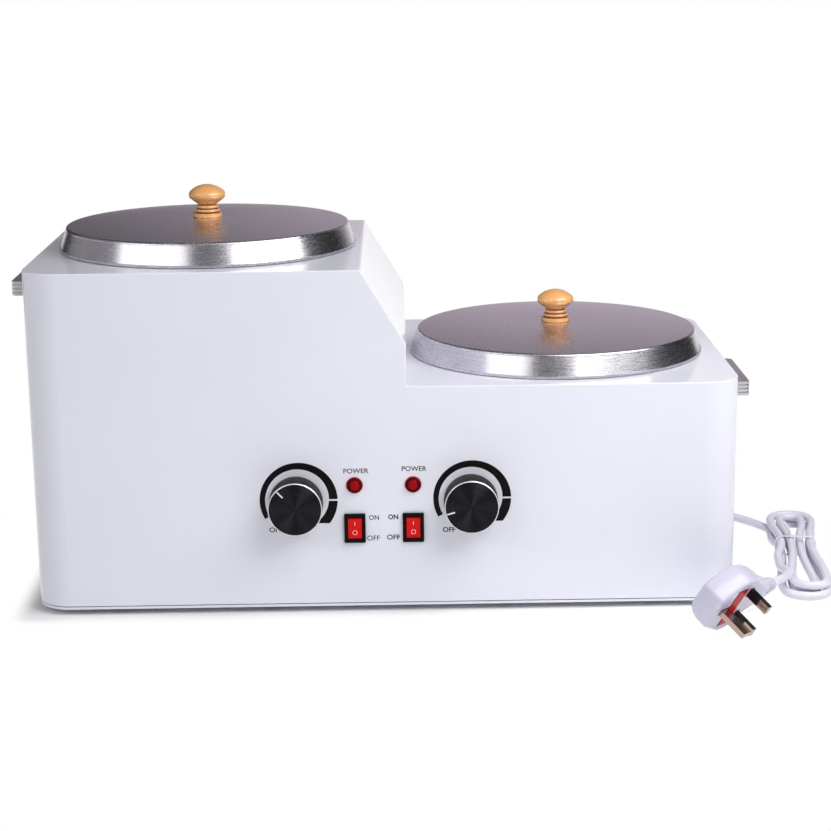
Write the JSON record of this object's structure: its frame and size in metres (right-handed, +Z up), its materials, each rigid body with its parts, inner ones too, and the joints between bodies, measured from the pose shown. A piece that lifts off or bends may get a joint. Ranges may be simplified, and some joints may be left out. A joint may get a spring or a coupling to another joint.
{
  "type": "double wax warmer",
  "caption": "Stepped steel case with a tall and a low heated wax pot under flat lids with wooden knobs, dials, rocker switches and pilot lamps on the front, and a mains lead with plug.",
  "frame": {"origin": "on the floor plane under the middle of the appliance, measured without the mains lead", "axes": "+X to the right of the front panel, along the case; +Y to the back; +Z up"},
  "size_m": [0.6098, 0.4254, 0.2914],
  "materials": {
    "case_paint": "white gloss stove enamel on folded steel",
    "zinc_steel": "bright zinc plate",
    "foot_rubber": "moulded black rubber",
    "well_aluminium": "deep-drawn, plain",
    "rivet_aluminium": "headed",
    "pot_aluminium": "deep-drawn, satin",
    "bail_steel": "nickel-plated wire",
    "lid_aluminium": "spun satin",
    "varnished_beech": "clear gloss varnish",
    "heater_steel": "plain sheath",
    "glass_blanket": "woven glass",
    "dark_moulding": "moulded black",
    "black_anodised": "turned, black anodised",
    "shaft_steel": "turned",
    "rocker_red": "moulded red",
    "lens_red": "clear red, unlit",
    "handle_aluminium": "extruded, satin anodised",
    "block_moulding": "moulded natural",
    "sensor_copper": "drawn copper",
    "brown_wire": "brown sleeving",
    "blue_wire": "blue sleeving",
    "green_wire": "green and yellow sleeving",
    "cord_vinyl": "smooth white flexible vinyl",
    "tie_vinyl": "thin white vinyl strip",
    "plug_moulding": "moulded white",
    "carrier_red": "moulded red",
    "pin_brass": "nickel-plated brass",
    "sleeve_black": "moulded black"
  },
  "bodies": {
    "case": {"band_heater_bolts": "zinc_steel", "band_heaters": "heater_steel", "bottom_plate": "case_paint", "bottom_plate_screws": "zinc_steel", "case_deck": "case_paint", "case_wrap": "case_paint", "cord_gland": "cord_vinyl", "cord_hank": "cord_vinyl", "cord_lead": "cord_vinyl", "cord_tail": "cord_vinyl", "earth_stud": "zinc_steel", "earth_wire": "green_wire", "foot_screws": "zinc_steel", "gland_nut": "block_moulding", "handle_screws": "zinc_steel", "hank_tie": "tie_vinyl", "inner_cord": "cord_vinyl", "insulation_wraps": "glass_blanket", "lamp_clips": "zinc_steel", "left_handle": "handle_aluminium", "left_heating_well": "well_aluminium", "left_switch_body": "dark_moulding", "left_thermostat": "dark_moulding", "live_wires": "brown_wire", "neutral_wires": "blue_wire", "pilot_lamp_bodies": "dark_moulding", "pilot_lenses": "lens_red", "plug_body": "plug_moulding", "plug_fuse_carrier": "carrier_red", "plug_pin_sleeves": "sleeve_black", "plug_pins": "pin_brass", "right_handle": "handle_aluminium", "right_heating_well": "well_aluminium", "right_switch_body": "dark_moulding", "right_thermostat": "dark_moulding", "rubber_feet": "foot_rubber", "terminal_block": "block_moulding", "thermal_cutouts": "dark_moulding", "thermostat_screws": "zinc_steel", "thermostat_sensors": "sensor_copper", "well_rivets": "rivet_aluminium"},
    "left_pot": {"left_wax_pot": "pot_aluminium"},
    "left_bail": {"left_pot_bail": "bail_steel"},
    "left_lid_set": {"left_lid": "lid_aluminium", "left_lid_knob": "varnished_beech", "left_lid_screw": "zinc_steel"},
    "left_dial": {"left_temperature_knob": "black_anodised", "left_knob_grub_screw": "zinc_steel", "left_thermostat_shaft": "shaft_steel"},
    "left_switch": {"left_rocker": "rocker_red"},
    "right_pot": {"right_wax_pot": "pot_aluminium"},
    "right_bail": {"right_pot_bail": "bail_steel"},
    "right_lid_set": {"right_lid": "lid_aluminium", "right_lid_knob": "varnished_beech", "right_lid_screw": "zinc_steel"},
    "right_dial": {"right_temperature_knob": "black_anodised", "right_knob_grub_screw": "zinc_steel", "right_thermostat_shaft": "shaft_steel"},
    "right_switch": {"right_rocker": "rocker_red"}
  },
  "joints": [
    {"name": "left_pot_lift", "type": "slide", "parent": "case", "child": "left_pot", "axis": [0, 0, 1], "range_m": [0, 0.2]},
    {"name": "left_lid_lift", "type": "slide", "parent": "left_pot", "child": "left_lid_set", "axis": [0, 0, 1], "range_m": [0, 0.34]},
    {"name": "left_bail_swing", "type": "hinge", "parent": "left_pot", "child": "left_bail", "pos_m": [-0.129, 0.011, 0.255], "axis": [1, 0, 0], "range_deg": [0, 180]},
    {"name": "left_dial_turn", "type": "hinge", "parent": "case", "child": "left_dial", "pos_m": [-0.0627, -0.1115, 0.0824], "axis": [0, 1, 0], "range_deg": [-97, 164]},
    {"name": "left_rocker_tip", "type": "hinge", "parent": "case", "child": "left_switch", "pos_m": [-0.0218, -0.109, 0.0623], "axis": [-1, 0, 0], "range_deg": [0, 18]},
    {"name": "right_pot_lift", "type": "slide", "parent": "case", "child": "right_pot", "axis": [0, 0, 1], "range_m": [0, 0.15]},
    {"name": "right_lid_lift", "type": "slide", "parent": "right_pot", "child": "right_lid_set", "axis": [0, 0, 1], "range_m": [0, 0.34]},
    {"name": "right_bail_swing", "type": "hinge", "parent": "right_pot", "child": "right_bail", "pos_m": [0.129, 0.011, 0.173], "axis": [1, 0, 0], "range_deg": [0, 180]},
    {"name": "right_dial_turn", "type": "hinge", "parent": "case", "child": "right_dial", "pos_m": [0.0599, -0.1115, 0.0824], "axis": [0, 1, 0], "range_deg": [-34, 227]},
    {"name": "right_rocker_tip", "type": "hinge", "parent": "case", "child": "right_switch", "pos_m": [0.0194, -0.109, 0.0623], "axis": [-1, 0, 0], "range_deg": [0, 18]}
  ],
  "couplings": [
    {"joint": "left_bail_swing", "follows": "left_lid_lift", "rad_per_m": 9.2},
    {"joint": "right_bail_swing", "follows": "right_lid_lift", "rad_per_m": 9.2}
  ]
}
